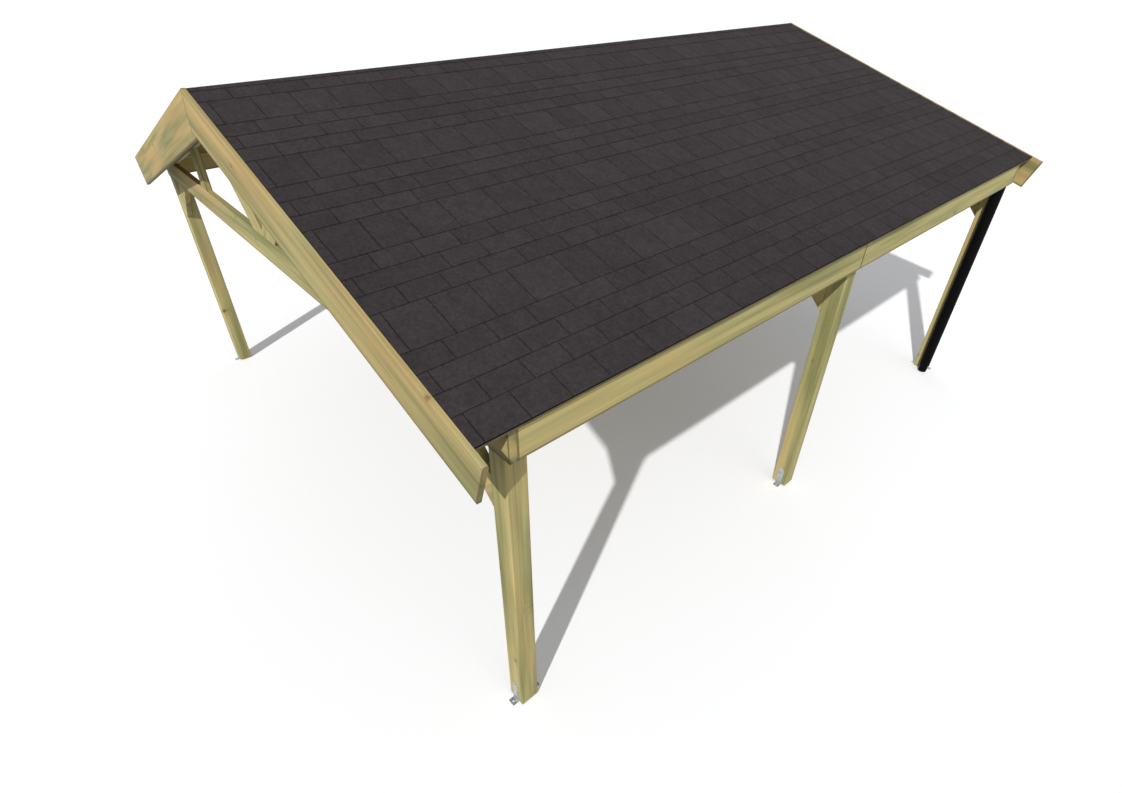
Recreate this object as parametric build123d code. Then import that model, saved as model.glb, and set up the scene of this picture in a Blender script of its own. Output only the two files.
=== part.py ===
import os
from math import cos, radians, sin, tan

from build123d import *

# Roof
roof_pitch = 18.07
gable_overhang = 207.0
eave_overhang = 28.0
covering_thickness = 8.0
deck_thickness = 18.0
barge_thickness = 27.0
barge_depth = 263.0
barge_tail = 101.0

# Planed timber of the trusses, plates and purlins
timber_thickness = 44.0
arris = 2.0
tie_underside = 2104.0
tie_depth = 190.0
chord_depth = 145.0
chord_end = 9.0
strut_width = 145.0
strut_offset = 1380.0
diagonal_width = 195.0
diagonal_angle = 48.0
diagonal_joint = 56.0
brace_width = 145.0
brace_angle = 45.0
brace_leg = 380.0
purlin_offset = 1850.0
purlin_spacing = 910.0
joint_gap = 0.6

# Posts
post_size = 125.0
post_arris = 8.0
post_lift = 15.0
row_spacing = 5385.0
front_bay = 2985.0
back_bay = 2908.0
plate_let_in = 5.0

# Post feet, bent from flat steel
bracket_width = 50.0
bracket_height = 190.0
bracket_thickness = 5.0
bracket_tab = 45.0
bracket_bend = 6.0
bracket_round = 20.0
anchor_hole = 13.0
screw_hole = 7.0
screw_edge = 30.0
screw_spacing = 60.0

# Rainwater pipe on the back right post
pipe_diameter = 100.0
pipe_wall = 3.0
pipe_offset = 55.0
pipe_lift = 12.0
spigot_diameter = 84.0
spigot_length = 62.0
spigot_taper = 14.0
seat_gap = 0.3

overrun = 20.0

slope = tan(radians(roof_pitch))
slope_cos = cos(radians(roof_pitch))
slope_sin = sin(radians(roof_pitch))
deck_depth = covering_thickness
frame_depth = covering_thickness + deck_thickness
chord_underside = frame_depth + chord_depth

tie_top = tie_underside + tie_depth

post_outer = row_spacing / 2 + post_size / 2
post_inner = row_spacing / 2 - post_size / 2
plate_inner = post_outer - plate_let_in
plate_outer = plate_inner + timber_thickness
eave_edge = plate_outer + eave_overhang
eave_run = eave_edge / slope_cos
barge_run = eave_run + barge_tail
ridge_height = tie_top + chord_end + plate_outer * slope + frame_depth / slope_cos

post_lines = front_bay + back_bay
front_line = -post_lines / 2
middle_line = front_line + front_bay
back_line = front_line + post_lines
front_face = front_line - post_size / 2
middle_face = middle_line - post_size / 2
back_face = back_line + post_size / 2
barge_outer = back_face + gable_overhang
barge_inner = barge_outer - barge_thickness
truss_starts = {
    "front": front_face,
    "middle": middle_face,
    "back": back_face - timber_thickness,
}
post_places = {"front": front_line, "middle": middle_line, "back": back_line}


def roof_height(x, depth):
    return ridge_height - abs(x) * slope - depth / slope_cos


def on_slope(run, depth):
    x = run * slope_cos - depth * slope_sin
    z = ridge_height - run * slope_sin - depth * slope_cos
    return (x, z)


def mirrored(point):
    return (-point[0], point[1])


def plank(outline, start, end, edge):
    side = Plane(origin=(0, end, 0), x_dir=(1, 0, 0), z_dir=(0, -1, 0))
    face = side * make_face(Polyline(*outline, close=True))
    body = extrude(face, amount=end - start, dir=(0, -1, 0))
    if edge > 0:
        sides = body.faces().filter_by(Axis.Y)
        body = chamfer(sides.edges(), edge)
    return body


def both_sides(right):
    return right, mirror(right, Plane.YZ)


def save(name, *solids):
    shape = solids[0] if len(solids) == 1 else Compound(children=list(solids))
    export_step(shape, "parts/" + name + ".step")


# Covering and deck are cut square to the slope at the eave
def roof_layer(top, underside):
    outline = [
        (0, roof_height(0, top)),
        on_slope(eave_run, top),
        on_slope(eave_run, underside),
        (0, roof_height(0, underside)),
    ]
    return plank(outline, -barge_inner, barge_inner, 0)


def square_bargeboard(start):
    outline = [
        on_slope(0, 0),
        on_slope(barge_run, 0),
        on_slope(barge_run, barge_depth),
        on_slope(0, barge_depth),
    ]
    return plank(outline, start, start + barge_thickness, arris)


# Scribed round the square head of the other board
def scribed_bargeboard(start):
    upper = joint_gap * slope_cos / cos(radians(2 * roof_pitch))
    lower = joint_gap / (2 * slope_sin)
    corner = on_slope(-joint_gap, barge_depth + joint_gap)
    outline = [
        (-upper, roof_height(upper, 0)),
        mirrored(on_slope(barge_run, 0)),
        mirrored(on_slope(barge_run, barge_depth)),
        (-lower, roof_height(lower, barge_depth)),
        corner,
    ]
    return plank(outline, start, start + barge_thickness, arris)


def purlin(run, start, end):
    outline = [
        on_slope(run, frame_depth),
        on_slope(run + timber_thickness, frame_depth),
        on_slope(run + timber_thickness, chord_underside),
        on_slope(run, chord_underside),
    ]
    return plank(outline, start, end, arris)


# Rafter of a truss, cut level where it seats on the tie beam
def chord(start, end_x):
    middle = joint_gap / 2
    heel = (roof_height(0, chord_underside) - tie_top) / slope
    outline = [
        (middle, roof_height(middle, frame_depth)),
        (end_x, roof_height(end_x, frame_depth)),
        (end_x, tie_top),
        (heel, tie_top),
        (middle, roof_height(middle, chord_underside)),
    ]
    return plank(outline, start, start + timber_thickness, arris)


def tie_beam(start, end_x):
    outline = [
        (-end_x, tie_underside),
        (end_x, tie_underside),
        (end_x, tie_top),
        (-end_x, tie_top),
    ]
    return plank(outline, start, start + timber_thickness, arris)


def strut(start):
    inner = strut_offset - strut_width / 2
    outer = strut_offset + strut_width / 2
    outline = [
        (inner, tie_top),
        (outer, tie_top),
        (outer, roof_height(outer, chord_underside)),
        (inner, roof_height(inner, chord_underside)),
    ]
    return plank(outline, start, start + timber_thickness, arris)


# The two diagonals of a truss meet in a plumb joint over the middle of the tie beam
def diagonal(start):
    rise = tan(radians(diagonal_angle))
    middle = joint_gap / 2
    upper = middle - diagonal_joint / rise
    lower = upper + diagonal_width / sin(radians(diagonal_angle))
    head = roof_height(0, chord_underside) - tie_top
    upper_x = (head + upper * rise) / (rise + slope)
    lower_x = (head + lower * rise) / (rise + slope)
    outline = [
        (middle, tie_top),
        (lower, tie_top),
        (lower_x, roof_height(lower_x, chord_underside)),
        (upper_x, roof_height(upper_x, chord_underside)),
        (middle, tie_top + diagonal_joint),
    ]
    return plank(outline, start, start + timber_thickness, arris)


def knee_brace(start):
    rise = tan(radians(brace_angle))
    reach = brace_leg / rise
    plumb_cut = brace_width / cos(radians(brace_angle))
    level_cut = brace_width / sin(radians(brace_angle))
    foot = tie_underside - brace_leg
    outline = [
        (post_inner, foot),
        (post_inner, foot + plumb_cut),
        (post_inner - reach + level_cut, tie_underside),
        (post_inner - reach, tie_underside),
    ]
    return plank(outline, start, start + timber_thickness, arris)


# The plate is let into the posts and its top is bevelled to the pitch
def wall_plate(start, end):
    outline = [
        (plate_inner, tie_underside),
        (plate_outer, tie_underside),
        (plate_outer, roof_height(plate_outer, frame_depth)),
        (plate_inner, roof_height(plate_inner, frame_depth)),
    ]
    return plank(outline, start, end, arris)


# Square post with rounded arrises, notched for the tie beam and the plate
def post(line, truss_start):
    column = Rectangle(post_size, post_size)
    column = fillet(column.vertices(), post_arris)
    body = extrude(column, amount=tie_top - post_lift, dir=(0, 0, 1))
    body = Pos(row_spacing / 2, line, post_lift) * body
    notch_height = tie_depth + overrun
    middle_z = tie_underside + notch_height / 2
    plate_notch = Box(plate_let_in + overrun, post_size + overrun, notch_height)
    plate_x = plate_inner + (plate_let_in + overrun) / 2
    body = body - Pos(plate_x, line, middle_z) * plate_notch
    start = truss_start
    end = truss_start + timber_thickness
    if truss_start < line:
        start = start - overrun
    else:
        end = end + overrun
    tie_notch = Box(post_size + overrun, end - start, notch_height)
    return body - Pos(row_spacing / 2, (start + end) / 2, middle_z) * tie_notch


# Bent strap that stands on the ground and is screwed to one face of a post
def bracket():
    half = bracket_width / 2
    outline = [
        (0, 0),
        (bracket_tab, 0),
        (bracket_tab, bracket_thickness),
        (bracket_thickness, bracket_thickness),
        (bracket_thickness, bracket_height),
        (0, bracket_height),
    ]
    side = Plane(origin=(0, half, 0), x_dir=(1, 0, 0), z_dir=(0, -1, 0))
    body = extrude(side * make_face(Polyline(*outline, close=True)), amount=bracket_width, dir=(0, -1, 0))
    bends = body.edges().filter_by(Axis.Y)
    outer = bends.sort_by_distance((0, 0, 0))[0]
    body = fillet(outer, bracket_bend + bracket_thickness)
    bends = body.edges().filter_by(Axis.Y)
    inner = bends.sort_by_distance((bracket_thickness, 0, bracket_thickness))[0]
    body = fillet(inner, bracket_bend)
    corners = body.edges().filter_by(Axis.X).group_by(Axis.Z)[-1]
    body = fillet(corners, bracket_round)
    tab_edge = body.edges().filter_by(Axis.Z).group_by(Axis.X)[-1]
    body = fillet(tab_edge, bracket_bend)
    anchor_x = (bracket_tab + bracket_thickness + bracket_bend) / 2
    anchor = Cylinder(anchor_hole / 2, bracket_thickness + overrun)
    body = body - Pos(anchor_x, 0, bracket_thickness / 2) * anchor
    for step in (0, 1):
        hole = Rot(0, 90, 0) * Cylinder(screw_hole / 2, bracket_thickness + overrun)
        height = bracket_height - screw_edge - step * screw_spacing
        body = body - Pos(bracket_thickness / 2, 0, height) * hole
    return body


def foot_pair(x, line, turn):
    pair = []
    for angle in (turn, turn + 180):
        placed = Pos(post_size / 2, 0, 0) * bracket()
        pair.append(Pos(x, line, 0) * Rot(0, 0, angle) * placed)
    return pair


# Tube with a tapered spigot at its foot, standing against the post
def rainwater_pipe():
    outer = pipe_diameter / 2
    spigot = spigot_diameter / 2
    top = tie_underside - seat_gap
    shoulder = pipe_lift + spigot_length
    taper = shoulder + spigot_taper
    outline = [
        (spigot - pipe_wall, pipe_lift),
        (spigot, pipe_lift),
        (spigot, shoulder),
        (outer, taper),
        (outer, top),
        (outer - pipe_wall, top),
        (outer - pipe_wall, taper),
        (spigot - pipe_wall, shoulder),
    ]
    section = Plane.XZ * make_face(Polyline(*outline, close=True))
    tube = revolve(section, axis=Axis.Z)
    y = back_line - post_size / 2 - seat_gap - outer
    return Pos(row_spacing / 2 + pipe_offset, y, 0) * tube


os.makedirs("parts", exist_ok=True)

for place, line in post_places.items():
    right, left = both_sides(post(line, truss_starts[place]))
    save("post_" + place + "_right", right)
    save("post_" + place + "_left", left)
    turned = 0 if place == "back" else 90
    save("feet_" + place + "_right", *foot_pair(row_spacing / 2, line, turned))
    save("feet_" + place + "_left", *foot_pair(-row_spacing / 2, line, 90))

for place, start in truss_starts.items():
    end_x = plate_inner if place == "middle" else plate_outer
    save("tie_beam_" + place, tie_beam(start, end_x))
    right, left = both_sides(chord(start, end_x))
    save("rafter_" + place + "_right", right)
    save("rafter_" + place + "_left", left)
    save("struts_" + place, *both_sides(strut(start)))
    save("diagonals_" + place, *both_sides(diagonal(start)))
    save("knee_braces_" + place, *both_sides(knee_brace(start)))

plate_start = truss_starts["front"] + timber_thickness
plate_end = truss_starts["back"]
right, left = both_sides(wall_plate(plate_start, middle_line))
save("wall_plate_front_right", right)
save("wall_plate_front_left", left)
right, left = both_sides(wall_plate(middle_line, plate_end))
save("wall_plate_back_right", right)
save("wall_plate_back_left", left)

purlin_ends = [-barge_inner]
for start in truss_starts.values():
    purlin_ends.append(start)
    purlin_ends.append(start + timber_thickness)
purlin_ends.append(barge_inner)
right_purlins = []
for step in (0, 1):
    inner_x = purlin_offset - step * purlin_spacing
    run = (inner_x + chord_underside * slope_sin) / slope_cos
    for start, end in zip(purlin_ends[0::2], purlin_ends[1::2]):
        right_purlins.append(purlin(run, start, end))
save("purlins_right", *right_purlins)
save("purlins_left", *[mirror(piece, Plane.YZ) for piece in right_purlins])

right, left = both_sides(roof_layer(deck_depth, frame_depth))
save("roof_deck_right", right)
save("roof_deck_left", left)
right, left = both_sides(roof_layer(0, deck_depth))
save("roof_covering_right", right)
save("roof_covering_left", left)
for place, start in (("front", -barge_outer), ("back", barge_inner)):
    save("bargeboard_" + place + "_right", square_bargeboard(start))
    save("bargeboard_" + place + "_left", scribed_bargeboard(start))

save("rainwater_pipe", rainwater_pipe())
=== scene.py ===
import math
import random

import bmesh
import bpy
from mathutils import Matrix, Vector


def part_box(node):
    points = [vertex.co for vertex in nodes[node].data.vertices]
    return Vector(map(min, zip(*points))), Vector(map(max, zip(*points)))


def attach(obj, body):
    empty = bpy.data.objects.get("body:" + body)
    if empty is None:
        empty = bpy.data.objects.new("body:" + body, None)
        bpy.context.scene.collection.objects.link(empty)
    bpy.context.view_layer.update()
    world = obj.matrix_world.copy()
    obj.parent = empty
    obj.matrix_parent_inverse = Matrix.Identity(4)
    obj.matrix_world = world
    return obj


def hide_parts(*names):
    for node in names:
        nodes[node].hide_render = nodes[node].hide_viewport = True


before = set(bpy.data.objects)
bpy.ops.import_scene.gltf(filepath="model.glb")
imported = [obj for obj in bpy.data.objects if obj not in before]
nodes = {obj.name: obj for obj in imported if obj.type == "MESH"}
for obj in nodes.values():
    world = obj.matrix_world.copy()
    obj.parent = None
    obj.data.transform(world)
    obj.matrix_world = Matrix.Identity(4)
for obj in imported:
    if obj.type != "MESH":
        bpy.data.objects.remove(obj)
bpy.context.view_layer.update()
print("frame:", len(nodes), "nodes")


class Shade:  # one socket of a material, so that its maths is written as maths
    def __init__(self, tree, socket=None):
        self.tree = tree
        self.socket = socket

    def node(self, kind, settings=None, sockets=None, out=0):
        made = self.tree.nodes.new("ShaderNode" + kind)
        for key, setting in (settings or {}).items():
            setattr(made, key, setting)
        for key, value in (sockets or {}).items():
            if isinstance(value, Shade):
                self.tree.links.new(value.socket, made.inputs[key])
            else:
                made.inputs[key].default_value = value
        return Shade(self.tree, made.outputs[out] if made.outputs else None)

    def out(self, name):  # another output of the same node
        return Shade(self.tree, self.socket.node.outputs[name])

    def maths(self, operation, *values):
        return self.node("Math", {"operation": operation}, dict(enumerate(values)))

    def __add__(self, other):
        return self.maths("ADD", self, other)

    def __radd__(self, other):
        return self.maths("ADD", other, self)

    def __sub__(self, other):
        return self.maths("SUBTRACT", self, other)

    def __rsub__(self, other):
        return self.maths("SUBTRACT", other, self)

    def __mul__(self, other):
        return self.maths("MULTIPLY", self, other)

    def __rmul__(self, other):
        return self.maths("MULTIPLY", other, self)

    def __truediv__(self, other):
        return self.maths("DIVIDE", self, other)

    def __rtruediv__(self, other):
        return self.maths("DIVIDE", other, self)

    def __pow__(self, other):
        return self.maths("POWER", self, other)

    def __rpow__(self, other):
        return self.maths("POWER", other, self)

    def __abs__(self):
        return self.maths("ABSOLUTE", self)

    def lower(self, other):
        return self.maths("MINIMUM", self, other)

    def higher(self, other):
        return self.maths("MAXIMUM", self, other)

    def fade(self, low, high):  # 0 below low, 1 above high, smooth between
        ends = {"Value": self, "From Min": low, "From Max": high}
        return self.node("MapRange", {"interpolation_type": "SMOOTHSTEP"}, ends)

    def tint(self, first, second):  # mixes two colours by this value
        sockets = {0: self, 6: colour(first), 7: colour(second)}
        return self.node("Mix", {"data_type": "RGBA"}, sockets, 2)

    def dimmed(self, light):  # this colour times a value
        grey = self.node("CombineColor", None, {0: light, 1: light, 2: light})
        settings = {"data_type": "RGBA", "blend_type": "MULTIPLY"}
        return self.node("Mix", settings, {0: 1.0, 6: self, 7: grey}, 2)

    def spot(self):  # place on the piece, in metres
        return self.node("TexCoord", out="Object")

    def layer(self, name, out):  # a value that the mesh carries
        return self.node("Attribute", {"attribute_name": name}, out=out)

    def split(self):  # x, with Y and Z as its other outputs
        return self.node("SeparateXYZ", None, {0: self})

    def channels(self):  # red, with Green and Blue as its other outputs
        return self.node("SeparateColor", None, {0: self})

    def point(self, x, y, z):
        return self.node("CombineXYZ", None, {0: x, 1: y, 2: z})

    def cloud(self, place, scale=1.0, detail=2.0, rough=0.5):
        sockets = {"Vector": place, "Scale": scale, "Detail": detail, "Roughness": rough}
        return self.node("TexNoise", None, sockets)

    def cells(self, place, scale=1.0, size="3D"):
        sockets = {"Vector": place, "Scale": scale}
        return self.node("TexVoronoi", {"voronoi_dimensions": size}, sockets)


def colour(value):
    return value if isinstance(value, Shade) else (*value, 1.0)


def startFinish(name):
    finish = bpy.data.materials.new(name)
    finish.use_nodes = True
    finish.node_tree.nodes.clear()
    return finish, Shade(finish.node_tree)


def endFinish(sh, base, rough, height, bump, fixed):  # bump is its depth and strength
    relief = {"Height": height, "Distance": bump[0], "Strength": bump[1]}
    sockets = {"Base Color": base, "Roughness": rough, "Normal": sh.node("Bump", None, relief)}
    body = sh.node("BsdfPrincipled", None, {**sockets, **fixed})
    sh.node("OutputMaterial", None, {"Surface": body})


def makePiece(name, shape, finish, replaced=()):
    mesh = bpy.data.meshes.new(name)
    shape.to_mesh(mesh)
    shape.free()
    mesh.materials.append(finish)
    piece = bpy.data.objects.new(name, mesh)
    bpy.context.scene.collection.objects.link(piece)
    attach(piece, "root")
    if replaced:
        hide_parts(*replaced)


def dress(node, finish):  # a carried-over node keeps its shape and takes a finish
    materials = nodes[node].data.materials
    materials.clear()
    materials.append(finish)


def prism(shape, first, second):  # closed body between two rings of points
    made = [shape.faces.new(first), shape.faces.new(second[::-1])]
    for i in range(len(first)):
        j = (i + 1) % len(first)
        made.append(shape.faces.new((first[j], first[i], second[i], second[j])))
    return made


def faceOutward(shape):
    bmesh.ops.recalc_face_normals(shape, faces=shape.faces[:])


timber = {  # pressure-treated pine, colours in linear values
    "pale": (0.426, 0.386, 0.166),
    "tan": (0.464, 0.334, 0.137),
    "tanFrom": (0.36, 0.64),
    "green": (0.296, 0.298, 0.116),
    "greenFrom": (0.30, 0.54),
    "greenShare": 0.72,
    "late": (0.286, 0.214, 0.078),
    "lateRise": (0.35, 0.86),  # within one ring
    "lateFall": (0.90, 1.0),
    "knot": (0.150, 0.078, 0.028),
    "knotShare": 0.75,
    "knotCell": (0.38, 0.25),
    "knotLean": 0.4,  # how far a knot moves from face to face
    "knotChosen": (0.60, 0.62),  # few cells hold a knot
    "knotCore": (0.022, 0.062),
    "knotSwirl": (0.02, 0.24),  # grain that bends round a knot
    "knotPush": 0.009,
    "crack": (0.060, 0.042, 0.020),
    "crackWidth": 0.0032,
    "crackPatch": (0.55, 0.64),
    "crackShare": 0.7,
    "worn": (0.540, 0.480, 0.260),  # along the edges of a plank
    "wornWidth": (0.0015, 0.0060),
    "wornStripe": (0.36, 0.66),
    "stain": (0.085, 0.072, 0.034),  # along an end that is cut square
    "stainWidth": (0.0060, 0.0130),
    "stainShare": 0.75,
    "grimeWidth": (0.0032, 0.0110),  # dark line along edges where water hangs
    "grimeShare": (0.40, 0.50),  # everywhere, and more in pale stripes
    "endFace": (0.82, 0.95),  # how squarely a face is cut across the grain
    "ring": 0.0062,  # one year's growth
    "wobble": 0.030,
    "pith": (0.05, 0.11),  # how far the heart lies from the middle of a plank
    "sway": (0.45, 5.0, 2.0, 0.5),  # waves along and across, detail, roughness
    "patch": (0.9, 3.4, 2.0, 0.5),
    "streak": (0.72, 13.0, 2.0, 0.55),
    "stripe": (1.1, 48.0, 2.0, 0.6),
    "fibre": (16.0, 520.0, 1.0, 0.65),
    "bump": (0.0009, 0.55),
    "gloss": 0.25,
    "nodeShift": 20.0,  # each node is cut from another length of wood
    "pairShift": 4.3,
    "boardShift": (9.0, 2.0, 0.05),
    "seed": 300,
}


def flankOf(node):  # 0 for a mirrored pair in one node
    return 1 if node.endswith("_right") else -1 if node.endswith("_left") else 0


# along, across and into a plank; an angle is measured down from level
def grainPlace(point, grain, flank):
    x, y, z = point
    if grain == "x":
        return x, z, y
    if grain == "y":
        return y, z, x
    out = x * flank if flank else abs(x)
    if grain == "z":
        return z, out, y
    c, s = math.cos(math.radians(grain)), math.sin(math.radians(grain))
    return out * c - z * s, out * s + z * c, y


def grainBox(node, grain):  # lowest and highest corner in the grain's own axes
    spots = [grainPlace(v.co, grain, flankOf(node)) for v in nodes[node].data.vertices]
    return [[limit(spot[k] for spot in spots) for k in range(3)] for limit in (min, max)]


def fromEnds(value, low, high):
    return (high - low) / 2 - abs(value - (low + high) / 2)


def timberFinish(name, node, grain, seed, look, seedLayer=None):
    finish, sh = startFinish(name)
    chance = random.Random(seed)
    low, high = grainBox(node, grain)
    flank = flankOf(node)
    x = sh.spot().split()
    length, width, depth = grainPlace((x, x.out("Y"), x.out("Z")), grain, flank)
    facing = sh.node("NewGeometry", out="Normal").split()
    end = grainPlace((facing, facing.out("Y"), facing.out("Z")), grain, flank)[0]
    endMask = abs(end).fade(*timber["endFace"])
    along, across, deep = length, width, depth
    if not flank and grain not in ("x", "y"):
        along = along + sh.maths("SIGN", x) * timber["pairShift"]  # the two of a pair differ
    along = along + chance.uniform(-timber["nodeShift"], timber["nodeShift"])
    turn = chance.uniform(0, 2 * math.pi)
    reach = chance.uniform(*timber["pith"])
    heartAcross = (low[1] + high[1]) / 2 + reach * math.cos(turn)
    heartDeep = (low[2] + high[2]) / 2 + reach * math.sin(turn)
    if seedLayer:
        shift = sh.layer(seedLayer, "Fac")
        steps = timber["boardShift"]
        along = along + shift * steps[0]
        across = across + shift * steps[1]
        deep = deep + shift * steps[2]

    def waves(kind):  # noise that is drawn out along the grain
        long, wide, detail, rough = timber[kind]
        return sh.cloud(sh.point(along * long, across * wide, deep * wide), 1.0, detail, rough)

    cellLong, cellWide = timber["knotCell"]
    knotAcross = (across + deep * timber["knotLean"]) / cellWide
    knotFar = sh.cells(sh.point(along / cellLong, knotAcross, 0.0), size="2D")
    chosen = knotFar.out("Color").channels().fade(*timber["knotChosen"])
    knotSwirl = (1 - knotFar.fade(*timber["knotSwirl"])) * chosen
    knotMask = (1 - knotFar.fade(*timber["knotCore"])) * chosen
    sway = waves("sway") - 0.5
    fromHeart = sh.maths("SQRT", (across - heartAcross) ** 2.0 + (deep - heartDeep) ** 2.0)
    radius = fromHeart + sway * timber["wobble"] + knotSwirl * timber["knotPush"]
    ring = sh.maths("FRACT", radius / timber["ring"])
    late = ring.fade(*timber["lateRise"]) * (1 - ring.fade(*timber["lateFall"]))
    patch, streak, stripe, fibre = (waves(kind) for kind in ("patch", "streak", "stripe", "fibre"))
    crack = (1 - abs(stripe - 0.5).fade(0.0, timber["crackWidth"])) * patch.fade(*timber["crackPatch"])

    warm = (patch * 0.60 + streak * 0.40 + (look["warmth"] - 0.5) * 0.34).fade(*timber["tanFrom"])
    shown = warm.tint(timber["pale"], timber["tan"])
    green = (1 - streak.fade(*timber["greenFrom"])) * timber["greenShare"]
    shown = green.tint(shown, timber["green"])
    shown = (late * (0.20 + stripe * 0.28)).tint(shown, timber["late"])
    light = 0.76 + stripe * 0.32 + fibre * 0.16 + (streak - 0.5) * look["band"]
    # the look's tone and end hold painted light and shade for some members, see looks
    shown = shown.dimmed(light * (look["tone"] - endMask * look["end"]))
    shown = (knotSwirl ** 2.0 * 0.30).tint(shown, timber["late"])
    shown = (knotMask * timber["knotShare"]).tint(shown, timber["knot"])
    shown = (crack * (1 - endMask) * timber["crackShare"]).tint(shown, timber["crack"])
    if look.get("wear"):
        rim = fromEnds(width, low[1], high[1]).higher(fromEnds(depth, low[2], high[2]))
        worn = (1 - rim.fade(*timber["wornWidth"])) * stripe.fade(*timber["wornStripe"])
        shown = (worn * look["wear"]).tint(shown, timber["worn"])
    if look.get("grime"):
        edge = width - low[1] if look["grime"] == "low" else fromEnds(width, low[1], high[1])
        edge = edge.higher(fromEnds(depth, low[2], high[2]))
        near, far = (reached * look["drip"] for reached in timber["grimeWidth"])
        least, more = timber["grimeShare"]
        grime = (1 - edge.fade(near, far)) * (least + stripe * more)
        shown = grime.tint(shown, timber["stain"])
    if look.get("square"):
        tip = fromEnds(length, low[0], high[0]) if look["square"] == "both" else high[0] - length
        stain = (1 - tip.fade(*timber["stainWidth"])) * (1 - endMask)
        shown = (stain * timber["stainShare"]).tint(shown, timber["stain"])
    rough = 0.62 + fibre * 0.26 - knotMask * 0.14 - late * 0.06
    height = fibre * 0.55 + late * 0.30
    endFinish(sh, shown, rough, height, timber["bump"], {"Specular IOR Level": timber["gloss"]})
    return finish


roof = {"covering": 0.008, "deck": 0.018, "webAngle": -48.0, "braceAngle": -45.0}
roofLow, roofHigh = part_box("roof_covering_right")
coveringPoints = [v.co for v in nodes["roof_covering_right"].data.vertices]
eaveCorner = max(coveringPoints, key=lambda place: place.x)
ridge, eave = roofHigh.z, eaveCorner.x
fall = (ridge - eaveCorner.z) / eave
pitch = math.atan(fall)
slopeDown = math.degrees(pitch)
eaveRun = eave / math.cos(pitch)
gables = roofLow.y, roofHigh.y
places = ("front", "middle", "back")
sides = {"right": 1, "left": -1}

# brightness (tone) is partly painted light: plates, whose outer face gets little sun, are painted
# lighter, and ties and bargeboards, whose front faces get much sun, are painted darker
looks = {  # warmth, brightness and its bands, darkening of cut ends, then edges and square ends
    "tie": {
        # the tie's negative end value paints light: its end faces come out lighter than the rest
        "warmth": 0.36, "tone": 0.91, "band": 1.15, "end": -0.10,
        "grime": "low", "drip": 1.7, "square": "both",
    },
    "web": {"warmth": 0.40, "tone": 1.00, "band": 1.15, "end": 0.12, "grime": "both", "drip": 1.0},
    "post": {"warmth": 0.34, "tone": 1.08, "band": 1.40, "end": 0.12},
    "plate": {
        "warmth": 0.24, "tone": 1.13, "band": 1.15, "end": 0.12, "wear": 0.40,
        "grime": "low", "drip": 1.7, "square": "both",
    },
    "bargeRight": {
        "warmth": 0.60, "tone": 0.92, "band": 1.30, "end": 0.10, "wear": 0.45,
        "grime": "low", "drip": 1.7, "square": "both",
    },
    "purlin": {"warmth": 0.45, "tone": 1.00, "band": 1.15, "end": 0.12},
    # the boards' strong end darkening is partly end grain and partly painted shade on the deck's edge
    # at the eave
    "board": {"warmth": 0.50, "tone": 1.00, "band": 0.60, "end": 0.62},
}
looks["bargeLeft"] = {**looks["bargeRight"], "square": "far"}  # scribed at the apex
members = []  # node, direction of its grain, look
for place in places:
    members.append(("tie_beam_" + place, "x", "tie"))
    members.append(("struts_" + place, "z", "web"))
    members.append(("diagonals_" + place, roof["webAngle"], "web"))
    members.append(("knee_braces_" + place, roof["braceAngle"], "web"))
    for side in sides:
        where = place + "_" + side
        members.append(("post_" + where, "z", "post"))
        members.append(("rafter_" + where, slopeDown, "web"))
        if place != "middle":
            members.append(("wall_plate_" + where, "y", "plate"))
            members.append(("bargeboard_" + where, slopeDown, "barge" + side.capitalize()))
for side in sides:
    members.append(("purlins_" + side, "y", "purlin"))
for count, (node, grain, look) in enumerate(members):
    dress(node, timberFinish("timber_" + node, node, grain, timber["seed"] + count, looks[look]))
print("timber:", len(members), "members")


def onSlope(side, run, y, depth):  # run is measured down the slope, depth into the roof
    run = max(run, depth * fall)  # plumb cut at the ridge
    x = run * math.cos(pitch) - depth * math.sin(pitch)
    z = ridge - run * math.sin(pitch) - depth * math.cos(pitch)
    return Vector((sides[side] * x, y, z))


boards = {"count": 54, "groove": 0.0042, "gap": 0.0008, "seed": 31, "grainSeed": 61}


def roofBoards(side):
    shape = bmesh.new()
    seeds = shape.faces.layers.float.new("boardSeed")
    chance = random.Random(boards["seed"] + sides[side])
    top, bottom = roof["covering"], roof["covering"] + roof["deck"]
    width = (gables[1] - gables[0]) / boards["count"]
    g = boards["groove"]
    for k in range(boards["count"]):
        a = gables[0] + k * width + boards["gap"] / 2
        b = a + width - boards["gap"]
        section = [(a, top), (b, top), (b, bottom - g)]
        section += [(b - g, bottom), (a + g, bottom), (a, bottom - g)]
        upper = [shape.verts.new(onSlope(side, 0, y, depth)) for y, depth in section]
        lower = [shape.verts.new(onSlope(side, eaveRun, y, depth)) for y, depth in section]
        seed = chance.random()
        for face in prism(shape, upper, lower):
            face[seeds] = seed
    faceOutward(shape)
    deck = "roof_deck_" + side
    grainSeed = boards["grainSeed"] + sides[side]
    name = "timber_boards_" + side
    finish = timberFinish(name, deck, slopeDown, grainSeed, looks["board"], "boardSeed")
    makePiece("roof_boards_" + side, shape, finish, [deck])


for side in sides:
    roofBoards(side)
print("boards:", boards["count"], "on each slope")

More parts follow.
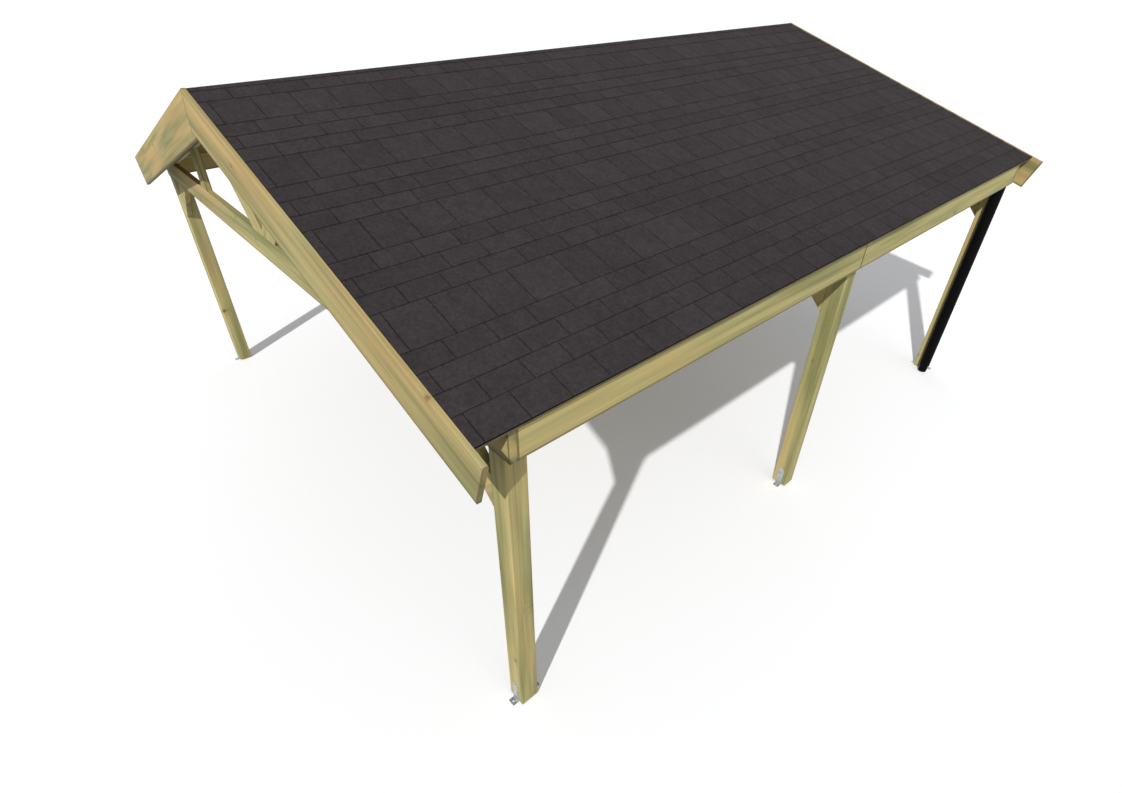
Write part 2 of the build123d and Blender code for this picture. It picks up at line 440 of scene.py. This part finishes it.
shingles = {  # lapped bitumen shingles, three short courses below each tall one
    "firstLine": 0.050,
    "short": 0.130,
    "tall": 0.265,
    "courseCycle": 4,
    "leastCourse": 0.02,  # a thinner last course is left out
    "tabs": (0.0, 0.234, 0.466, 0.700),
    "repeat": 1.000,
    "startEven": 0.055,
    "startOdd": 0.203,
    "leastTab": 0.025,  # no joint nearer to a gable
    "joint": 0.0042,
    "gableGap": 0.0005,
    "topDepth": 0.0028,  # where a tab runs under the one above
    "buttDepth": 0.0003,
    "under": 0.0062,
    "stray": 0.0034,  # how far a cut edge wanders
    "frayShare": 0.5,
    "acrossShares": (0.0, 0.34, 0.67, 1.0),  # points along each edge of a tab
    "buttShares": (1.0, 0.66, 0.33, 0.0),
    "sideShares": (0.22, 0.5, 0.78),
    "seed": 7,
    "pale": (0.0572, 0.0505, 0.0518),
    "dark": (0.0283, 0.0248, 0.0257),
    "rust": (0.0780, 0.0350, 0.0360),
    "felt": (0.0210, 0.0184, 0.0193),
    "granule": 620.0,
    "coarse": (46.0, 3.0, 0.65),  # scale, detail and roughness
    "mottle": (11.0, 3.0, 0.6),
    "stain": (1.3, 2.0),
    "fuzz": (240.0, 3.0, 0.6),
    "sideEdge": (0.0005, 0.0065, 0.17),  # where the darkening starts and ends, its share
    # the next three rows paint shade along each course line: at a tab's butt, on the butt's cut face,
    # and at a tab's top under the course above
    "lipShade": (0.0005, 0.0055, 0.06),
    "bandShade": (0.001, 0.010, 0.08),
    "cutShade": (0.0002, 0.0012, 0.28),
    "eaveEdge": (0.0010, 0.0050, 0.88),
    "ridgeTop": 0.05,  # keeps the first course clear of bandShade
    "bump": (0.0014, 0.8),
    "gloss": 0.03,
    "feltBump": (0.001, 0.5),
    "feltGloss": 0.1,
}


def shingleFinish():
    finish, sh = startFinish("shingle_granules")
    spot = sh.spot()
    left = sh.layer("tabLow", "Vector").split()
    right = sh.layer("tabHigh", "Vector").split()
    butt, tone = left.out("Y"), left.out("Z")
    upper, eaveTab = right.out("Y"), right.out("Z")
    grain = sh.cells(spot, shingles["granule"])
    grainTone = grain.out("Color").channels()
    coarse, mottle, stain = (sh.cloud(spot, *shingles[kind]) for kind in ("coarse", "mottle", "stain"))
    mixed = (grainTone * 0.30 + coarse * 0.42 + mottle * 0.28).fade(0.28, 0.72)
    shown = mixed.tint(shingles["dark"], shingles["pale"])
    speck = grainTone.out("Green").fade(0.95, 0.97) * 0.6
    rust = speck.higher(coarse.fade(0.62, 0.72) * mottle.fade(0.48, 0.58) * 0.8)
    shown = rust.tint(shown, shingles["rust"])
    light = 0.90 + tone * 0.14 + coarse * 0.10 - stain.fade(0.45, 0.75) * 0.06
    ragged = coarse - 0.5

    def dark(kind, value):
        near, far, share = shingles[kind]
        return (1 - value.fade(near, far)) * share

    # darker tab edges: dark joints at the sides, painted shade along the course lines, and the dark
    # cut edge of the eave course
    edge = dark("sideEdge", left.lower(right) + ragged * 0.014)
    edge = edge.higher(dark("lipShade", butt + ragged * 0.006))
    edge = edge.higher(dark("bandShade", upper + ragged * 0.010))
    edge = edge.higher(dark("cutShade", butt))
    edge = edge.higher(dark("eaveEdge", butt) * eaveTab)
    shown = shown.dimmed(light * (1 - edge))
    rough = 0.82 + grainTone * 0.12
    height = grain * 0.5 + coarse * 0.7 + mottle * 0.6
    endFinish(sh, shown, rough, height, shingles["bump"], {"Specular IOR Level": shingles["gloss"]})
    return finish


def feltFinish():
    finish, sh = startFinish("shingle_felt")
    fuzz = sh.cloud(sh.spot(), *shingles["fuzz"])
    shown = fuzz.fade(0.3, 0.7).tint(shingles["felt"], shingles["dark"])
    gloss = {"Specular IOR Level": shingles["feltGloss"]}
    endFinish(sh, shown, 0.80 + fuzz * 0.15, fuzz, shingles["feltBump"], gloss)
    return finish


def courseLines():
    lines = [0.0, shingles["firstLine"], shingles["firstLine"] + shingles["short"]]
    count = 0
    while True:
        step = shingles["tall"] if count % shingles["courseCycle"] == 0 else shingles["short"]
        if lines[-1] + step > eaveRun - shingles["leastCourse"]:
            break
        lines.append(lines[-1] + step)
        count += 1
    return lines + [eaveRun]


def tabJoints(course):
    odd = course % 2 == 1
    short = (course - 2) % shingles["courseCycle"] == 2  # has one joint fewer in each repeat
    start = shingles["startOdd"] if odd else shingles["startEven"]
    joints = []
    block = gables[0] + start - shingles["repeat"]
    while block < gables[1]:
        for number, step in enumerate(shingles["tabs"]):
            if not (short and number == 1):
                joints.append(block + step)
        block += shingles["repeat"]
    least, most = gables[0] + shingles["leastTab"], gables[1] - shingles["leastTab"]
    return [gables[0]] + [y for y in joints if least < y < most] + [gables[1]]


def tabOutline(first, last, head, butt, bends, frayed, chance):
    drop = chance.uniform(-frayed, 0)
    wide, tall = last - first, butt - head
    downwards = shingles["sideShares"]
    outline = [(first + wide * share, head) for share in shingles["acrossShares"]]
    for share, bend in zip(downwards, bends[1]):
        outline.append((last + bend, head + tall * share))
    for share in shingles["buttShares"]:
        outline.append((first + wide * share, butt + drop + chance.uniform(-frayed, 0)))
    for share, bend in zip(downwards[::-1], bends[0][::-1]):
        outline.append((first + bend, head + tall * share))
    return outline


def roofShingles(side):
    shape = bmesh.new()
    lowLayer = shape.loops.layers.float_vector.new("tabLow")
    highLayer = shape.loops.layers.float_vector.new("tabHigh")
    chance = random.Random(shingles["seed"] + sides[side])
    lines = courseLines()
    stray, atGable = shingles["stray"], shingles["gableGap"]
    rise = shingles["buttDepth"] - shingles["topDepth"]
    points = shingles["sideShares"]
    for course, (head, butt) in enumerate(zip(lines, lines[1:])):
        joints = tabJoints(course)
        # the two tabs at a joint share its bends, and the gables are straight
        bends = [[chance.uniform(-stray, stray) for point in points] for joint in joints]
        bends[0] = bends[-1] = [0.0 for point in points]
        frayed = shingles["frayShare"] * stray if butt < eaveRun else 0.0
        for number, (a, b) in enumerate(zip(joints, joints[1:])):
            first = a + (shingles["joint"] / 2 if number else atGable)
            last = b - (shingles["joint"] / 2 if number < len(joints) - 2 else atGable)
            tone = chance.random()
            outline = tabOutline(first, last, head, butt, bends[number:number + 2], frayed, chance)
            tops, feet = [], []
            for y, run in outline:
                depth = shingles["topDepth"] + rise * (run - head) / (butt - head)
                tops.append(shape.verts.new(onSlope(side, run, y, depth)))
                feet.append(shape.verts.new(onSlope(side, run, y, shingles["under"])))
            spots = dict(zip(tops + feet, outline + outline))
            for face in prism(shape, tops, feet):
                for loop in face.loops:
                    y, run = spots[loop.vert]
                    upper = run - head if course else shingles["ridgeTop"]
                    loop[lowLayer] = Vector((y - first, butt - run, tone))
                    loop[highLayer] = Vector((last - y, upper, butt == eaveRun))
    faceOutward(shape)
    made = len(shape.faces)
    makePiece("roof_shingles_" + side, shape, granules, ["roof_covering_" + side])
    return made


def roofFelt(side):  # the sheet below the tabs
    shape = bmesh.new()
    top, bottom = shingles["under"], roof["covering"]
    corners = ((0, top), (eaveRun, top), (eaveRun, bottom), (0, bottom))
    ends = []
    for y in gables:
        ends.append([shape.verts.new(onSlope(side, run, y, depth)) for run, depth in corners])
    prism(shape, *ends)
    faceOutward(shape)
    makePiece("roof_felt_" + side, shape, felt)


granules = shingleFinish()
felt = feltFinish()
for side in sides:
    roofFelt(side)
    print("shingles:", roofShingles(side), "faces on the", side, "slope")

steel = {
    "colour": (0.600, 0.612, 0.620),
    "dull": (0.430, 0.440, 0.452),
    "spangle": 85.0,
    "film": (26.0, 4.0, 0.6),  # scale, detail and roughness
    "fine": (900.0, 2.0),
    "bump": (0.0006, 0.35),
    "feetLight": 0.85,
    "screwLight": 0.82,
}


def steelFinish(name, light):
    finish, sh = startFinish(name)
    spot = sh.spot()
    flake = sh.cells(spot, steel["spangle"]).out("Color").channels()
    film = sh.cloud(spot, *steel["film"])
    fine = sh.cloud(spot, *steel["fine"])
    shown = (flake * 0.55 + film * 0.45).fade(0.2, 0.8).tint(steel["dull"], steel["colour"])
    shown = shown.dimmed(light + film * 0.08)
    rough = 0.34 + flake * 0.10 + film * 0.16
    endFinish(sh, shown, rough, film * 0.4 + fine * 0.2, steel["bump"], {"Metallic": 1.0})
    return finish


screws = {
    "tab": 0.045,  # of the foot that they hold
    "plate": 0.005,
    "heights": (0.160, 0.100),
    "profile": (  # radius and height of a domed head, from its socket outwards
        (0.0027, 0.0034), (0.0040, 0.0033), (0.0052, 0.0027),
        (0.0060, 0.0015), (0.0062, 0.0006), (0.0062, 0.0),
    ),
    "socket": 0.0016,
    "lobes": 6,
    "lobeRadius": 0.0023,
    "lobeRise": 0.0004,
    "points": 24,
}


def screwHead(shape, centre, out):
    up = Vector((0, 0, 1))
    across = up.cross(out)
    turns = [2 * math.pi * k / screws["points"] for k in range(screws["points"])]
    waves = [math.cos(screws["lobes"] * turn) for turn in turns]
    lobes = [screws["lobeRadius"] + screws["lobeRise"] * wave for wave in waves]
    rim = screws["profile"][0][1]
    levels = [(lobes, rim - screws["socket"]), (lobes, rim)]
    levels += [([radius] * len(turns), height) for radius, height in screws["profile"]]
    rings = []
    for radii, height in levels:
        ring = []
        for turn, r in zip(turns, radii):
            place = centre + out * height + across * (r * math.cos(turn)) + up * (r * math.sin(turn))
            ring.append(shape.verts.new(place))
        rings.append(ring)
    shape.faces.new(rings[0])
    for inner, outer in zip(rings, rings[1:]):
        for k in range(screws["points"]):
            j = (k + 1) % screws["points"]
            shape.faces.new((inner[k], inner[j], outer[j], outer[k]))


def footScrews(place, side):
    low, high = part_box("feet_" + place + "_" + side)
    middle = (low + high) / 2
    size = high - low
    axis = Vector((1, 0, 0)) if size.x > size.y else Vector((0, 1, 0))
    reach = max(size.x, size.y) / 2 - screws["tab"] + screws["plate"]
    shape = bmesh.new()
    for way in (1, -1):
        for height in screws["heights"]:
            centre = Vector((middle.x, middle.y, low.z + height)) + axis * (way * reach)
            screwHead(shape, centre, axis * way)
    faceOutward(shape)
    for face in shape.faces:
        face.smooth = True
    makePiece("screws_" + place + "_" + side, shape, zinc)


galvanised = steelFinish("steel_galvanised", steel["feetLight"])
zinc = steelFinish("steel_screws", steel["screwLight"])
for place in places:
    for side in sides:
        dress("feet_" + place + "_" + side, galvanised)
        footScrews(place, side)
print("feet: dressed and screwed")

pipe = {
    "colour": (0.0012, 0.0012, 0.0013),
    "worn": (0.0080, 0.0080, 0.0084),
    "drawn": (160.0, 2.0),  # marks round and along the pipe
    "drawnCloud": (1.0, 3.0, 0.6),  # scale, detail and roughness
    "dust": (9.0, 4.0, 0.65),
    "bump": (0.0004, 0.3),
    "gloss": 0.06,
}


def pipeFinish():
    finish, sh = startFinish("pipe_black_plastic")
    spot = sh.spot()
    x = spot.split()
    fine, long = pipe["drawn"]
    drawn = sh.cloud(sh.point(x * fine, x.out("Y") * fine, x.out("Z") * long), *pipe["drawnCloud"])
    dust = sh.cloud(spot, *pipe["dust"])
    scuff = drawn.fade(0.62, 0.72) * dust.fade(0.5, 0.7)
    shown = (scuff * 0.5 + dust.fade(0.4, 0.8) * 0.16).tint(pipe["colour"], pipe["worn"])
    rough = 0.56 + dust * 0.16 + scuff * 0.2
    height = drawn * 0.4 + dust * 0.3
    endFinish(sh, shown, rough, height, pipe["bump"], {"Specular IOR Level": pipe["gloss"]})
    return finish


dress("rainwater_pipe", pipeFinish())
print("pipe: dressed")

studio = {
    "floor": 0.37,  # what the floor gives back to the object
    "floorSeen": 0.99,
    "floorGlow": 0.060,  # for camera rays alone, so that the lit floor is white
    "floorRadius": 160.0,
    "floorSides": 96,
    "sunFrom": (0.535, -1.090, 1.0),
    "sun": 3.00,
    "sunSpread": 1.2,
    "fillFrom": (1.0, -0.10, 0.24),
    "fill": 0.50,
    "fillSpread": 50.0,
    "backFrom": (-0.8, 1.0, 0.35),
    "back": 0.36,
    "sky": 0.35,
    "skyTint": (0.965, 0.990, 1.045),
    "white": (1.0, 1.0, 1.0),
}


def seenRays(sh):
    rays = sh.node("LightPath")
    seen = rays.out("Is Camera Ray").higher(rays.out("Is Glossy Ray"))
    return seen.higher(rays.out("Is Transmission Ray"))


def addSun(name, origin, power, spread):
    lamp = bpy.data.lights.new(name, "SUN")
    lamp.energy = power
    lamp.angle = math.radians(spread)
    sun = bpy.data.objects.new(name, lamp)
    sun.rotation_euler = Vector(origin).to_track_quat("Z", "Y").to_euler()
    bpy.context.scene.collection.objects.link(sun)


def floorFinish():
    finish, sh = startFinish("floor_pale")
    plain = sh.node("BsdfDiffuse", None, {"Color": colour([studio["floor"]] * 3)})
    pale = sh.node("BsdfDiffuse", None, {"Color": colour([studio["floorSeen"]] * 3)})
    lamp = {"Color": colour(studio["white"]), "Strength": studio["floorGlow"]}
    white = sh.node("AddShader", None, {0: pale, 1: sh.node("Emission", None, lamp)})
    both = sh.node("MixShader", None, {0: seenRays(sh), 1: plain, 2: white})
    sh.node("OutputMaterial", None, {"Surface": both})
    return finish


def setStage():
    shape = bmesh.new()
    size = {"segments": studio["floorSides"], "radius": studio["floorRadius"]}
    bmesh.ops.create_circle(shape, cap_ends=True, **size)
    mesh = bpy.data.meshes.new("floor")
    shape.to_mesh(mesh)
    shape.free()
    mesh.materials.append(floorFinish())
    floor = bpy.data.objects.new("floor", mesh)
    bpy.context.scene.collection.objects.link(floor)
    addSun("sun", studio["sunFrom"], studio["sun"], studio["sunSpread"])
    addSun("fill", studio["fillFrom"], studio["fill"], studio["fillSpread"])
    addSun("back", studio["backFrom"], studio["back"], studio["fillSpread"])


def setSky():
    world = bpy.data.worlds.new("studio")
    bpy.context.scene.world = world
    world.use_nodes = True
    world.node_tree.nodes.clear()
    sky = Shade(world.node_tree)
    dim = {"Color": colour(studio["skyTint"]), "Strength": studio["sky"]}
    bright = {"Color": colour(studio["white"]), "Strength": 1.0}
    fill, white = (sky.node("Background", None, sockets) for sockets in (dim, bright))
    both = sky.node("MixShader", None, {0: seenRays(sky), 1: fill, 2: white})
    sky.node("OutputWorld", None, {"Surface": both})


view = {
    "place": (4.3729, -4.0948, 3.8636),
    "look": (-0.60830, 0.52990, -0.59091),
    "lens": 19.328,
    "sensor": 36.0,
    "reach": 500.0,
}


def setCamera():
    lens = bpy.data.cameras.new("camera")
    lens.lens = view["lens"]
    lens.sensor_width = view["sensor"]
    lens.clip_end = view["reach"]
    camera = bpy.data.objects.new("camera", lens)
    camera.location = view["place"]
    camera.rotation_euler = Vector(view["look"]).to_track_quat("-Z", "Y").to_euler()
    bpy.context.scene.collection.objects.link(camera)
    bpy.context.scene.camera = camera


setStage()
setSky()
setCamera()
bpy.context.scene.view_settings.view_transform = "Standard"
print("stage: floor, light and camera")
